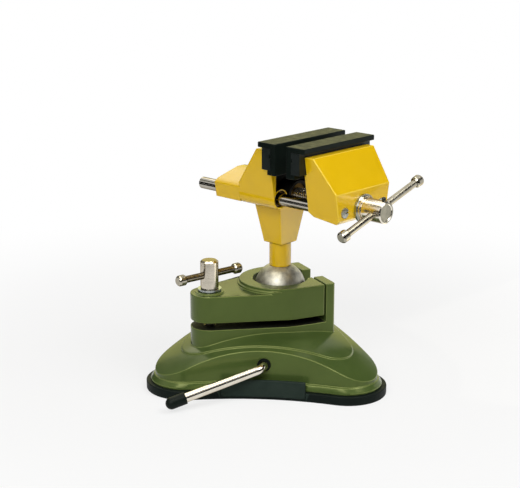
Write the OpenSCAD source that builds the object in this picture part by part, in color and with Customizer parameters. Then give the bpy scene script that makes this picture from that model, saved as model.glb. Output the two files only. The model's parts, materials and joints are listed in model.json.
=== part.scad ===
// Ball-joint precision vise on a vacuum base.
// X runs along the jaw slide towards the handle, Y runs across the jaws, and Z is up.
// The origin lies on the bench, under the centre of the ball.
// The base is drawn in its own frame, with the clamp screw on its -X side, and is then turned about Z.

/* [Suction base] */
// Turn of the base under the vise head, in degrees
base_turn = 68; // [0:1:180]
// Distance of the base centre from the ball axis, towards the clamp screw
base_shift = 8.3; // [6:0.1:11]
// Distance of each lobe's centre from the base centre
lobe_reach = 66.9; // [62:0.1:82]
// Radius of a lobe at the edge of the rubber pad
lobe_r = 28.7; // [27:0.1:35]
// Distance of the middle of each side from the base centre
side_reach = 55; // [53:0.5:58]
// Thickness of the rubber pad
pad_t = 6.5; // [5.4:0.1:8]
// Radius of the opening in the middle of the pad
pad_hole_r = 40; // [34:0.5:44]
// Thickness of the rubber disc in the middle of the pad
pad_disc_t = 2.6; // [2:0.1:3.2]
// Width of the release tab on the pad
tab_w = 60; // [40:1:72]
// Height of the release tab
tab_h = 14.5; // [8:0.5:16]
// Thickness of the release tab
tab_t = 2.6; // [1.5:0.1:3]
// Set-back of the casting's lip from the edge of the pad
lip_inset = 3.2; // [2.8:0.1:4.4]
// Height of the upright part of the lip
lip_h = 1.4; // [1:0.1:3]
// Height of the sloping part of the lip
lip_slope_h = 3.2; // [2:0.1:5]
// Set-back of the casting's walls from the edge of the pad
wall_inset = 6.5; // [5.4:0.1:8]
// Height of the dome at the base centre
dome_z = 41.5; // [38:0.5:43]
// Radius of the dome
dome_r = 157; // [130:1:190]
// Radius of the hollow under the casting
hollow_r = 38; // [34:0.5:40]
// Height of the hollow's roof
hollow_z = 29.6; // [26:0.2:32]

/* [Clamp tower] */
// Half width of the tower
tower_half_w = 30.2; // [28:0.1:34]
// Distance of the clamp screw from the ball axis
clamp_reach = 56.1; // [52:0.1:64]
// Radius of the tower's round end
tower_end_r = 14; // [12:0.1:17]
// Place of the bend in the tower's sides, behind the ball axis
tower_bend = 4; // [0:0.5:8]
// Radius of the bend in the tower's sides
tower_bend_r = 60; // [40:1:80]
// Radius of the tower's corners at the fork
tower_corner_r = 2; // [1:0.1:4]
// Height of the tower below the slit
tower_z = 44.2; // [43:0.1:46]
// Height of the underside of the cap
cap_z = 49.3; // [48:0.1:51]
// Height of the cap beside the clamp screw
cap_low_z = 69; // [66:0.1:70]
// Height of the cap's raised disc
cap_top_z = 72.7; // [71.6:0.1:75]
// Distance of the cap's end from the ball axis
cap_end = 21.3; // [20.9:0.1:23]
// Gap between the cap and the fork
fork_gap = 1.5; // [1:0.1:2]
// Distance of the fork's outer face from the ball axis
fork_end = 30.1; // [28:0.1:36]
// Width of the notch that the neck can lie down in
notch_w = 19; // [17.2:0.1:22]
// Radius of the pivot rib on the cap
rib_r = 3; // [2.4:0.1:3.4]
// Radius of the cap's mouth at its upper edge
mouth_r = 20.6; // [20:0.1:22]
// Distance of the raised ledge's corners from the base centre
ledge_reach = 48.5; // [46:0.5:52]
// Radius of the raised ledge's corners
ledge_r = 20; // [17:0.5:23]
// Height of the raised ledge above the dome
ledge_h = 1.2; // [0.8:0.1:2]

/* [Clamp screw] */
// Diameter of the clamp screw's shank
clamp_d = 8; // [6:0.1:10]
// Pitch of the clamp screw's thread
clamp_pitch = 1.25; // [1:0.05:1.75]
// Diameter of the clamp screw's head
clamp_head_d = 13; // [11:0.1:16]
// Height of the top of the clamp screw's head
clamp_top_z = 92.8; // [88:0.1:96]
// Height of the clamp bar
clamp_bar_z = 82; // [80:0.1:84]
// Diameter of the clamp bar
clamp_bar_d = 5; // [4:0.1:6]
// Length of the clamp bar between the middles of its knobs
clamp_bar_l = 49; // [40:1:60]
// Turn of the clamp bar from the line of the base
clamp_bar_turn = 14; // [0:1:90]
// Diameter of the knobs on the clamp bar
clamp_knob_d = 7.8; // [6.5:0.1:10]
// Diameter of the washer under the clamp screw
clamp_washer_d = 17; // [14:0.1:20]
// Thickness of the washer under the clamp screw
clamp_washer_t = 1.4; // [1:0.1:2]

/* [Suction lever] */
// Height of the lever's shaft
lever_z = 23.6; // [22:0.1:24.4]
// Diameter of the lever's rod
lever_d = 6.5; // [5:0.1:7.4]
// Lean of the lever's arm away from its shaft
lever_bend = 66; // [50:1:75]
// Bend radius of the lever's rod
lever_bend_r = 8; // [6:0.5:12]
// Length of the lever's straight arm
lever_arm = 62.5; // [45:0.5:66]
// Droop of the lever below the level at rest
lever_droop = 15.5; // [0:0.5:16]
// Diameter of the lever's tip
lever_tip_d = 8.6; // [7.6:0.1:10]
// Length of the lever's tip
lever_tip_l = 14.5; // [10:0.5:18]
// Outer diameter of the lever's bush
lever_bush_d = 9.4; // [8.6:0.1:11]
// Throw of the cam that lifts the pad's disc
cam_throw = 1.3; // [0.8:0.1:1.4]
// Radius of the cam
cam_r = 5; // [4.8:0.1:5.6]

/* [Ball joint] */
// Diameter of the ball
ball_d = 37; // [35:0.5:38.5]
// Height of the ball's centre
ball_z = 66; // [65:0.1:66.6]
// Outer diameter of the seat under the ball
seat_d = 34; // [30:0.5:36]
// Height of the seat's lower face
seat_z = 36.6; // [35.6:0.1:38]
// Height of the seat's rim
seat_top_z = 53; // [51:0.1:54]
// Diameter of the neck
neck_d = 16; // [13:0.1:16.8]
// Diameter of the neck's spigot in the ball
spigot_d = 10; // [8:0.1:11]
// Length of the neck's spigot in the ball
spigot_l = 14; // [10:0.5:16]
// Diameter of the screw that holds the ball on the neck
ball_screw_d = 6; // [4:0.1:7]

/* [Jaws] */
// Width of the jaw plates and their covers
cover_w = 75; // [64:1:90]
// Width of the jaw castings at their top
jaw_w = 65.2; // [58:0.1:70]
// Opening between the covers at rest
jaw_gap = 10; // [10:0.5:30]
// Height of the top of the jaw castings
jaw_z = 174.5; // [172:0.5:190]
// Narrowing of the jaw castings on each side for each millimetre down
jaw_taper = 0.163; // [0.1:0.005:0.18]
// Thickness of the jaw plates
plate_t = 7.8; // [6:0.1:9]
// Height of the jaw plates
plate_h = 15; // [13:0.1:16]
// Rise of the jaw plates above the castings
plate_rise = 2.6; // [1.6:0.1:3]
// Depth of the step that carries each plate
plate_step = 1.8; // [1:0.1:3]
// Thickness of the covers' walls
cover_t = 4.5; // [3:0.1:5]
// Thickness of the covers' flanges
flange_t = 3.8; // [3:0.1:4.5]
// Depth of the covers' flanges over the jaws
flange_l = 16.4; // [15:0.1:18]
// Height of the hook under each plate
hook_h = 3.4; // [2:0.1:4]
// Reach of the hook under each plate
hook_l = 3; // [1.5:0.1:4]
// Depth of the clip groove in the plates
clip_d = 1.2; // [0.8:0.1:1.8]
// Diameter of the plate screws' shanks
plate_screw_d = 3.2; // [2.6:0.1:3.4]
// Distance between a plate's two screws
plate_screw_gap = 44; // [36:1:48]

/* [Vise body] */
// Place of the fixed jaw's lower front face
body_front = 18.4; // [16:0.1:22]
// Place of the fixed jaw's rear edge at its top
body_top_rear = 6.4; // [2:0.1:8]
// Place of the foot of the sloping back
body_slope_x = -15; // [-20:0.5:-12]
// Height of the foot of the sloping back
body_slope_z = 146.5; // [145:0.5:150]
// Place of the rear end of the housing
housing_end = -40; // [-50:0.5:-34]
// Height of the underside of the housing
housing_z = 132; // [131.4:0.1:132.4]
// Height of the housing's side walls
housing_side_h = 11.3; // [9.6:0.1:13]
// Height of the ridge of the housing
housing_ridge_z = 151; // [149:0.1:153]
// Half width of the ridge of the housing
housing_ridge_w = 3.5; // [2:0.1:6]
// Half length of the neck's funnel at its top
funnel_top_x = 13; // [11:0.1:15]
// Half width of the neck's funnel at its top
funnel_top_y = 15; // [12:0.1:18]
// Half width of the neck's funnel at its foot
funnel_foot = 8.5; // [8.5:0.1:9.5]
// Height of the foot of the funnel
funnel_z = 100.2; // [96:0.1:106]
// Depth of the pocket in the fixed jaw's front
pocket_d = 13; // [8:0.5:15]

/* [Moving jaw] */
// Depth of the moving jaw's level top
top_depth = 7.6; // [6:0.1:10]
// Depth of the moving jaw below its sloping face
jaw_depth = 27; // [25:0.1:34]
// Height of the lower edge of the sloping face
slope_z = 151.3; // [149:0.1:155]
// Height of the underside of the moving jaw at its front
moving_z = 130; // [129.6:0.1:131]

/* [Slide and spindle] */
// Height of the spindle and the guide rods
slide_z = 138; // [137.6:0.1:138.4]
// Distance of each guide rod from the spindle
rod_y = 19.7; // [19:0.1:20]
// Diameter of the guide rods
rod_d = 8.6; // [7:0.1:9.4]
// Place of the rear ends of the guide rods
rod_end = -60.6; // [-66:0.1:-56]
// Outer diameter of the guide bushes
bush_d = 12; // [11.4:0.1:13]
// Outer diameter of the tubes round the guide rods
tube_d = 14.6; // [14.2:0.1:15.2]
// Diameter of the screws in the front ends of the guide rods
rod_screw_d = 7; // [5:0.1:8]
// Outer diameter of the spindle's thread
spindle_d = 10; // [8:0.1:12]
// Pitch of the spindle's thread
spindle_pitch = 2; // [1.5:0.1:3]
// Place of the spindle's rear end
spindle_end = -46; // [-52:0.5:-44]
// Diameter of the spindle's head
head_d = 15.5; // [13:0.1:18]
// Length of the spindle's head
head_l = 18.6; // [16:0.1:22]
// Diameter of the washer behind the spindle's head
head_washer_d = 20; // [17:0.1:24]
// Thickness of the washer behind the spindle's head
head_washer_t = 1.8; // [1.2:0.1:2.5]
// Outer diameter of the spindle's nut
nut_d = 16; // [14:0.1:18]
// Diameter of the spindle's bar
bar_d = 5; // [4:0.1:6]
// Length of the spindle's bar between the middles of its knobs
bar_l = 83; // [70:1:100]
// Slide of the spindle's bar off centre at rest
bar_slide = 4.5; // [0:0.5:10]
// Turn of the spindle's bar from the level at rest
bar_turn = 17; // [0:1:45]
// Diameter of the knobs on the spindle's bar
knob_d = 8; // [7:0.1:10]

/* [Fits] */
// Gap round a shaft that turns or slides in its hole
run_gap = 0.05; // [0.03:0.01:0.08]
// Gap between round faces that move past each other
free_gap = 0.3; // [0.2:0.05:0.4]

/* [Hidden] */
$fn = 64;
overlap = 0.5;
tall = 200;
press_gap = 0.01;
bend_steps = 6;
end_steps = 10;

olive = [0.33, 0.4, 0.13];
yellow = [0.93, 0.73, 0.08];
steel = [0.72, 0.7, 0.66];
dark_steel = [0.13, 0.17, 0.17];
black = [0.06, 0.07, 0.07];
rubber = [0.08, 0.09, 0.09];
brass = [0.72, 0.58, 0.27];

// Points on an arc about a centre
function polar(r, a) = [r * cos(a), r * sin(a)];
function arc(centre, r, a0, a1, n) =
    [for (i = [0 : n]) centre + polar(r, a0 + (a1 - a0) * i / n)];
function mirrored(points) = [for (i = [len(points) - 1 : -1 : 0]) [points[i][0], -points[i][1]]];

// Outline of the three-lobed base, set back from the edge of the pad
lobes = [60, 180, 300];
lobe_steps = 20;
side_steps = 11;
function side_r(r, d) =
    let (k = d - lobe_reach / 2)
    (k * k + 0.75 * lobe_reach * lobe_reach - r * r) / (2 * (r - k));
function lobe_outline(inset) =
    let (r = lobe_r - inset)
    let (d = side_reach - inset)
    let (big = side_r(r, d))
    let (h = asin(lobe_reach * sin(60) / (big + r)))
    [for (a = lobes) each concat(
        arc(polar(lobe_reach, a), r, a - 60 - h, a + 60 + h, lobe_steps),
        arc(polar(d + big, a + 60), big, a + 240 + h * (1 - 2 / side_steps),
            a + 240 - h * (1 - 2 / side_steps), side_steps - 2))];

// Outline of the raised ledge: a triangle with round corners
function ledge_outline() =
    [for (a = lobes) each arc(polar(ledge_reach, a), ledge_r, a - 60, a + 60, lobe_steps)];

// Outline of the tower: a round end, straight flanks that bend, and a square end
function tower_outline() =
    let (away = [clamp_reach - tower_bend, tower_half_w])
    let (lean = atan2(away[1], away[0]) - asin(tower_end_r / norm(away)))
    let (bend = [tower_bend_r * tan(lean / 2) - tower_bend, tower_half_w - tower_bend_r])
    let (corner = [fork_end - tower_corner_r, tower_half_w - tower_corner_r])
    let (flank = concat(
        arc(corner, tower_corner_r, 0, 90, bend_steps),
        arc(bend, tower_bend_r, 90, 90 + lean, bend_steps),
        arc([-clamp_reach, 0], tower_end_r, 90 + lean, 180, end_steps)))
    concat(flank, [for (p = mirrored(flank)) if (p[1] < -0.001) p]);

// Half width of the jaw castings at a height
function side_y(z) = jaw_w / 2 - jaw_taper * (jaw_z - z);

tab_proud = 0.8;
tab_foot = 2;
lip_z = pad_t + lip_h;
wall_z = lip_z + lip_slope_h;
lip_ledge = 0.6;
tip_reach = lobe_reach + lobe_r;
lip_scale = (tip_reach - wall_inset + lip_ledge) / (tip_reach - lip_inset);
lever_wall = side_reach - wall_inset;
lever_side = -120;
lever_stand_off = 2;
lever_out = lever_wall + lever_stand_off;
bush_proud = 0.5;
ring_room = 0.6;
lever_bush_l = lever_wall + bush_proud - hollow_r;
groove_t = 1.2;
groove_d = 0.7;
lever_ring_x = hollow_r - groove_t - ring_room;
ring_play = 0.05;
ring_rim = 2;

ball_r = ball_d / 2;
cup_r = ball_r + free_gap;
neck_r = neck_d / 2 + free_gap;
flat_z = ball_z + sqrt(ball_r * ball_r - neck_r * neck_r);
neck_room = 1;
notch_z = ball_z - neck_d / 2 - neck_room;
rib_drop = 3;
rib_z = ball_z - rib_drop;
rib_inset = 6;
rib_half = tower_half_w - rib_inset;
groove_room = 0.5;
boss_h = 1.2;
boss_inset = 3.4;
boss_z = cap_low_z + boss_h;
boss_r = tower_end_r - boss_inset;
washer_z = boss_z + free_gap;
clamp_head_z = washer_z + clamp_washer_t;
clamp_foot_z = 18;
drill_room = 2;
knob_l = 7;
knob_wall = 1.5;
thread_depth = 0.6;
ball_screw_drop = 5;
ball_screw_z = ball_z - ball_screw_drop;
ball_screw_l = 8;

plate_rear = body_front - plate_step;
fixed_face = plate_rear + plate_t + cover_t;
moving_face = fixed_face + jaw_gap;
moving_rear = moving_face + cover_t + plate_t;
gap_side = moving_rear - plate_step;
moving_front = gap_side + jaw_depth;
plate_z = jaw_z + plate_rise - plate_h;
plate_screw_rise = 4.5;
plate_screw_z = plate_z + plate_screw_rise;
plate_screw_l = 7;
plate_head_h = 2.5;
clip_rise = 8.2;
clip_z = plate_z + clip_rise;
clip_h = 3;
clip_play = 0.1;
cover_z = jaw_z + plate_rise;
tube_proud = 0.2;
body_z = slide_z - tube_d / 2 + tube_proud;
bush_l = 12;
bush_sunk = 2;
bush_x = body_front - bush_l - bush_sunk;
nut_x = -6;
nut_l = body_front - nut_x - bush_sunk;
head_x = moving_front + head_washer_t;
bar_set = 10.8;
bar_x = head_x + bar_set;
detent_set = 15.2;
detent_x = head_x + detent_set;
detent_d = 2.6;
detent_foot = 3.1;
ring_x = gap_side - groove_t - ring_play;
rod_grip = 14;
rod_fixing_x = moving_rear + rod_grip;
rod_screw_h = 3;
rod_shank_d = 4.6;

module on_base() { rotate([0, 0, base_turn]) children(); }
module at_base_centre() { on_base() translate([-base_shift, 0, 0]) children(); }
module at_lever() { at_base_centre() rotate([0, 0, lever_side]) translate([0, 0, lever_z]) children(); }
module at_clamp() { on_base() translate([-clamp_reach, 0, 0]) children(); }
module along_x() { rotate([0, 90, 0]) children(); }
module along_y() { rotate([-90, 0, 0]) children(); }
module at_rods(x) { for (side = [-1, 1]) translate([x, side * rod_y, slide_z]) along_x() children(); }
module at_slide(x) { translate([x, 0, slide_z]) along_x() children(); }

// Dome over the base, cut by the upright walls
module dome(rise) {
    intersection() {
        translate([0, 0, pad_t]) linear_extrude(tall) polygon(lobe_outline(wall_inset));
        translate([0, 0, dome_z + rise - dome_r]) sphere(dome_r);
    }
}

module base_casting() {
    well_r = cam_r + 6;
    well_roof = 2;
    color(olive) on_base() difference() {
        union() {
            translate([-base_shift, 0, 0]) {
                translate([0, 0, pad_t]) linear_extrude(lip_h) polygon(lobe_outline(lip_inset));
                translate([0, 0, lip_z]) linear_extrude(lip_slope_h, scale = lip_scale)
                    polygon(lobe_outline(lip_inset));
                dome(0);
            }
            translate([-base_shift, 0, 0]) intersection() {
                dome(ledge_h);
                linear_extrude(tall) polygon(ledge_outline());
            }
            translate([0, 0, wall_z]) linear_extrude(tower_z - wall_z) polygon(tower_outline());
            fork();
        }
        translate([-base_shift, 0, 0]) {
            translate([0, 0, -overlap]) cylinder(r = hollow_r, h = hollow_z + overlap);
            cylinder(r = well_r, h = seat_z - well_roof);
            translate([0, 0, lever_z]) rotate([0, 0, lever_side]) along_x()
                cylinder(d = lever_bush_d + 2 * run_gap, h = tall);
        }
        translate([0, 0, seat_z]) cylinder(d = seat_d + 2 * run_gap, h = tall);
        translate([-clamp_reach, 0, clamp_foot_z - drill_room])
            cylinder(d = clamp_d + 2 * run_gap, h = tall);
    }
}

// Forked wall at the end of the tower, with a groove for the cap's pivot rib
module fork() {
    inner = cap_end + fork_gap;
    difference() {
        intersection() {
            translate([0, 0, wall_z]) linear_extrude(cap_top_z - wall_z) polygon(tower_outline());
            translate([inner, -tall / 2, 0]) cube(tall);
        }
        translate([0, -notch_w / 2, notch_z]) cube([tall, notch_w, tall]);
        translate([cap_end, -rib_half - groove_room, rib_z]) along_y()
            cylinder(r = rib_r + free_gap, h = 2 * (rib_half + groove_room));
    }
}

module suction_pad() {
    color(rubber) at_base_centre() difference() {
        union() {
            linear_extrude(pad_t) polygon(lobe_outline(0));
            intersection() {
                linear_extrude(tab_h) difference() {
                    polygon(lobe_outline(-tab_proud));
                    polygon(lobe_outline(tab_t - tab_proud));
                }
                rotate([0, 0, lever_side]) translate([0, -tab_w / 2, tab_foot]) cube([tall, tab_w, tab_h]);
            }
        }
        translate([0, 0, -overlap]) cylinder(r = pad_hole_r, h = pad_t + 2 * overlap);
    }
}

module pad_disc() {
    color(rubber) at_base_centre() cylinder(r = pad_hole_r - free_gap, h = pad_disc_t);
}

// Plate, stem and yoke that the cam lifts
module pad_lifter() {
    foot_r = 20;
    foot_t = 2;
    stem_r = 4;
    yoke_w = 8;
    yoke_wall = 2.2;
    yoke_gap = 0.6;
    yoke = cam_r + yoke_gap;
    outer = yoke + yoke_wall;
    inner = yoke + cam_throw;
    cam_z = lever_z - cam_throw;
    color(steel) at_base_centre() difference() {
        union() {
            translate([0, 0, pad_disc_t]) cylinder(r = foot_r, h = foot_t);
            translate([0, 0, pad_disc_t]) cylinder(r = stem_r, h = cam_z - yoke - pad_disc_t);
            rotate([0, 0, lever_side]) translate([-yoke_w / 2, -outer, cam_z - outer])
                cube([yoke_w, 2 * outer, 2 * outer]);
        }
        rotate([0, 0, lever_side]) translate([-yoke_w, -inner, cam_z - yoke])
            cube([2 * yoke_w, 2 * inner, 2 * yoke]);
    }
}

// Bent rod: a shaft, a bend that is a shade thicker, and a straight arm
module lever_rod() {
    tail = 6;
    lap = 0.3;
    swell = 0.1;
    translate([-tail, 0, 0]) along_x() cylinder(d = lever_d, h = lever_out + tail + lap);
    translate([lever_out, lever_bend_r, 0]) rotate([0, 0, -90])
        rotate_extrude(angle = lever_bend) translate([lever_bend_r, 0]) circle(d = lever_d + swell);
    at_lever_arm() translate([-lap, 0, 0]) along_x() cylinder(d = lever_d, h = lever_arm + lap);
}

module at_lever_arm() {
    translate([lever_out + lever_bend_r * sin(lever_bend), lever_bend_r * (1 - cos(lever_bend)), 0])
        rotate([0, 0, lever_bend]) children();
}

module at_lever_rest() { at_lever() rotate([180 + lever_droop, 0, 0]) children(); }

module suction_lever() {
    color(steel) at_lever_rest() difference() {
        lever_rod();
        translate([lever_ring_x, 0, 0]) along_x() difference() {
            cylinder(d = 2 * lever_d, h = groove_t);
            translate([0, 0, -overlap]) cylinder(d = lever_d - 2 * groove_d, h = groove_t + 2 * overlap);
        }
    }
}

module lever_cam() {
    cam_w = 6;
    color(steel) at_lever() difference() {
        translate([-cam_w / 2, 0, -cam_throw]) along_x() cylinder(r = cam_r, h = cam_w);
        translate([-cam_w, 0, 0]) along_x() cylinder(r = lever_d / 2 + press_gap, h = 2 * cam_w);
    }
}

module lever_tip() {
    straight = lever_tip_l - lever_tip_d / 2;
    grip = 9;
    color(black) at_lever_rest() at_lever_arm() translate([lever_arm - grip, 0, 0]) along_x() difference() {
        union() {
            cylinder(d = lever_tip_d, h = straight);
            translate([0, 0, straight]) sphere(d = lever_tip_d);
        }
        translate([0, 0, -overlap]) cylinder(r = lever_d / 2 + press_gap, h = grip + overlap);
    }
}

module lever_bush() {
    color(black) at_lever() translate([hollow_r, 0, 0]) along_x() difference() {
        cylinder(d = lever_bush_d, h = lever_bush_l);
        translate([0, 0, -overlap]) cylinder(d = lever_d + 2 * run_gap, h = lever_bush_l + 2 * overlap);
    }
}

// Open ring that snaps into a groove in a shaft
module retaining_ring(d, depth) {
    core = d / 2 - depth + press_gap;
    mouth = 1.4 * core;
    difference() {
        cylinder(r = d / 2 + ring_rim, h = groove_t - 2 * ring_play);
        translate([0, 0, -overlap]) cylinder(r = core, h = 2 * groove_t);
        translate([-d, -mouth / 2, -overlap]) cube([d, mouth, 2 * groove_t]);
    }
}

module lever_retaining_ring() {
    color(dark_steel) at_lever() translate([lever_ring_x + ring_play, 0, 0]) along_x()
        retaining_ring(lever_d, groove_d);
}

module clamp_cap() {
    mouth_step = 2.2;
    screw_room = 0.8;
    ridge_w = 1.3;
    ridge_h = 1.6;
    mouth_z = cap_top_z - (mouth_r - cup_r + mouth_step);
    color(olive) on_base() difference() {
        union() {
            intersection() {
                union() {
                    translate([0, 0, cap_z]) linear_extrude(cap_low_z - cap_z) polygon(tower_outline());
                    translate([0, 0, cap_z]) cylinder(r = tower_half_w, h = cap_top_z - cap_z);
                    intersection() {
                        linear_extrude(cap_low_z + ridge_h) polygon(tower_outline());
                        translate([0, 0, cap_z]) cylinder(r = tower_half_w + ridge_w, h = tall);
                    }
                    translate([0, -tower_half_w, cap_z])
                        cube([tall, 2 * tower_half_w, cap_top_z - cap_z]);
                }
                translate([cap_end - tall, -tall / 2, 0]) cube(tall);
            }
            translate([-clamp_reach, 0, cap_z]) cylinder(r = boss_r, h = boss_z - cap_z);
            translate([cap_end, -rib_half, rib_z]) along_y() cylinder(r = rib_r, h = 2 * rib_half);
        }
        translate([0, 0, ball_z]) sphere(cup_r);
        translate([0, 0, cap_z - overlap]) cylinder(r = cup_r, h = ball_z - cap_z + overlap);
        translate([0, 0, mouth_z])
            cylinder(r1 = cup_r - mouth_step, r2 = mouth_r + overlap, h = cap_top_z - mouth_z + overlap);
        translate([0, -notch_w / 2, notch_z]) cube([tall, notch_w, tall]);
        translate([-clamp_reach, 0, 0]) cylinder(r = clamp_d / 2 + screw_room, h = tall);
    }
}

module washer(d, bore, t) {
    difference() {
        cylinder(d = d, h = t);
        translate([0, 0, -overlap]) cylinder(d = bore + 2 * run_gap, h = t + 2 * overlap);
    }
}

module clamp_washer() {
    color(steel) at_clamp() translate([0, 0, washer_z]) washer(clamp_washer_d, clamp_d, clamp_washer_t);
}

// Round bar with its middle on the axis
module cross_bar(d, l) { along_x() translate([0, 0, -l / 2]) cylinder(d = d, h = l); }

// Round knobs with flat ends, pushed on both ends of a bar
module bar_knobs(bar, knob, l) {
    swell = 1.12;
    for (side = [0, 180]) rotate([0, 0, side]) translate([l / 2 - knob_l / 2, 0, 0]) along_x() difference() {
        intersection() {
            translate([0, 0, knob_l / 2]) sphere(d = knob * swell);
            cylinder(d = knob, h = knob_l);
        }
        translate([0, 0, -overlap]) cylinder(r = bar / 2 + press_gap, h = knob_l - knob_wall + overlap);
    }
}

// Turned head with a broken edge at its foot and a wider one at its crown
module turned_head(d, l) {
    foot = 0.6;
    crown = 1.2;
    rotate_extrude() polygon([
        [0, 0], [d / 2 - foot, 0], [d / 2, foot], [d / 2, l - crown], [d / 2 - crown, l], [0, l]]);
}

// Side of a thread drawn as rings, for a turned profile that starts at zero
function thread(d, pitch, start, turns) =
    let (crest = d / 2)
    let (root = crest - thread_depth)
    [for (i = [0 : turns - 1]) each [
        [crest, start + i * pitch], [crest, start + (i + 0.25) * pitch],
        [root, start + (i + 0.55) * pitch], [root, start + (i + 0.7) * pitch]]];

module clamp_screw() {
    plain = clamp_head_z + overlap - clamp_foot_z;
    start = 1;
    turns = floor((cap_z - clamp_foot_z - start) / clamp_pitch);
    last = start + turns * clamp_pitch;
    color(steel) at_clamp() difference() {
        union() {
            translate([0, 0, clamp_head_z]) turned_head(clamp_head_d, clamp_top_z - clamp_head_z);
            translate([0, 0, clamp_foot_z]) rotate_extrude() polygon(concat(
                [[0, 0], [clamp_d / 2 - thread_depth, 0]], thread(clamp_d, clamp_pitch, start, turns),
                [[clamp_d / 2, last], [clamp_d / 2, plain], [0, plain]]));
        }
        at_clamp_bar() cross_bar(clamp_bar_d + 2 * run_gap, 3 * clamp_head_d);
    }
}

module at_clamp_bar() { translate([0, 0, clamp_bar_z]) rotate([0, 0, clamp_bar_turn]) children(); }

module clamp_bar() {
    color(steel) at_clamp() at_clamp_bar() cross_bar(clamp_bar_d, clamp_bar_l + knob_l - 2 * knob_wall);
}

module clamp_bar_knobs() {
    color(steel) at_clamp() at_clamp_bar() bar_knobs(clamp_bar_d, clamp_knob_d, clamp_bar_l);
}

module ball_seat() {
    bore_r = 7;
    color(black) difference() {
        translate([0, 0, seat_z]) cylinder(d = seat_d, h = seat_top_z - seat_z);
        translate([0, 0, ball_z]) sphere(cup_r);
        translate([0, 0, seat_z - overlap]) cylinder(r = bore_r, h = tall);
    }
}

module ball() {
    color(steel) difference() {
        translate([0, 0, ball_z]) sphere(ball_r);
        translate([0, 0, flat_z]) cylinder(r = ball_r, h = ball_r);
        translate([0, 0, flat_z - spigot_l - overlap]) cylinder(d = spigot_d + 2 * run_gap, h = tall);
        translate([0, 0, ball_z - ball_r]) cylinder(d = ball_screw_d + 2 * run_gap, h = tall);
        cylinder(d = 2 * ball_screw_d, h = ball_screw_z);
    }
}

// Socket screw that holds the neck's spigot in the ball
module ball_screw() {
    head_z = ball_screw_z - run_gap;
    socket_d = 0.9 * ball_screw_d;
    socket_h = 4;
    color(dark_steel) difference() {
        union() {
            translate([0, 0, head_z - ball_screw_d]) cylinder(d = 1.6 * ball_screw_d, h = ball_screw_d);
            translate([0, 0, head_z - overlap])
                cylinder(d = ball_screw_d, h = flat_z + ball_screw_l - head_z);
        }
        translate([0, 0, head_z - ball_screw_d - overlap]) cylinder(d = socket_d, h = socket_h, $fn = 6);
    }
}

// Side profile of a jaw casting, drawn across its whole width
module across(profile) {
    translate([0, cover_w, 0]) rotate([90, 0, 0]) linear_extrude(2 * cover_w) polygon(profile);
}

// Room between the castings' sides, which lean in towards the foot
module between_sides() {
    foot = 120;
    narrow = side_y(foot);
    translate([-tall, 0, 0]) rotate([90, 0, 90]) linear_extrude(2 * tall)
        polygon([[-narrow, foot], [narrow, foot], [jaw_w / 2, jaw_z], [-jaw_w / 2, jaw_z]]);
}

// Housing behind the fixed jaw, drawn wider than the leaning sides that cut it
module rear_housing() {
    eave_w = 3.6;
    eave_h = 2.4;
    side_top = housing_z + housing_side_h;
    eave_y = side_y(side_top);
    half = [
        [eave_y + eave_w, housing_z], [eave_y + eave_w, side_top - eave_h],
        [eave_y - eave_w, side_top + eave_h], [housing_ridge_w, housing_ridge_z]];
    translate([housing_end, 0, 0]) rotate([90, 0, 90]) linear_extrude(-housing_end)
        polygon(concat(half, [for (i = [3 : -1 : 0]) [-half[i][0], half[i][1]]]));
}

// Lower corners of the body outside the middles of the guide rods
module tube_corners() {
    for (side = [0, 1]) mirror([0, side, 0])
        translate([body_slope_x, rod_y, 0]) cube([tall, cover_w, slide_z]);
}

// Square funnel between the neck and the body
module funnel() {
    top_z = body_z + 3;
    a = funnel_foot;
    x = funnel_top_x;
    y = funnel_top_y;
    polyhedron(
        [[-a, -a, funnel_z], [a, -a, funnel_z], [a, a, funnel_z], [-a, a, funnel_z],
            [-x, -y, top_z], [x, -y, top_z], [x, y, top_z], [-x, y, top_z]],
        [[0, 1, 2, 3], [0, 5, 1], [0, 4, 5], [1, 6, 2], [1, 5, 6],
            [2, 7, 3], [2, 6, 7], [3, 4, 0], [3, 7, 4], [7, 6, 5, 4]]);
}

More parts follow.
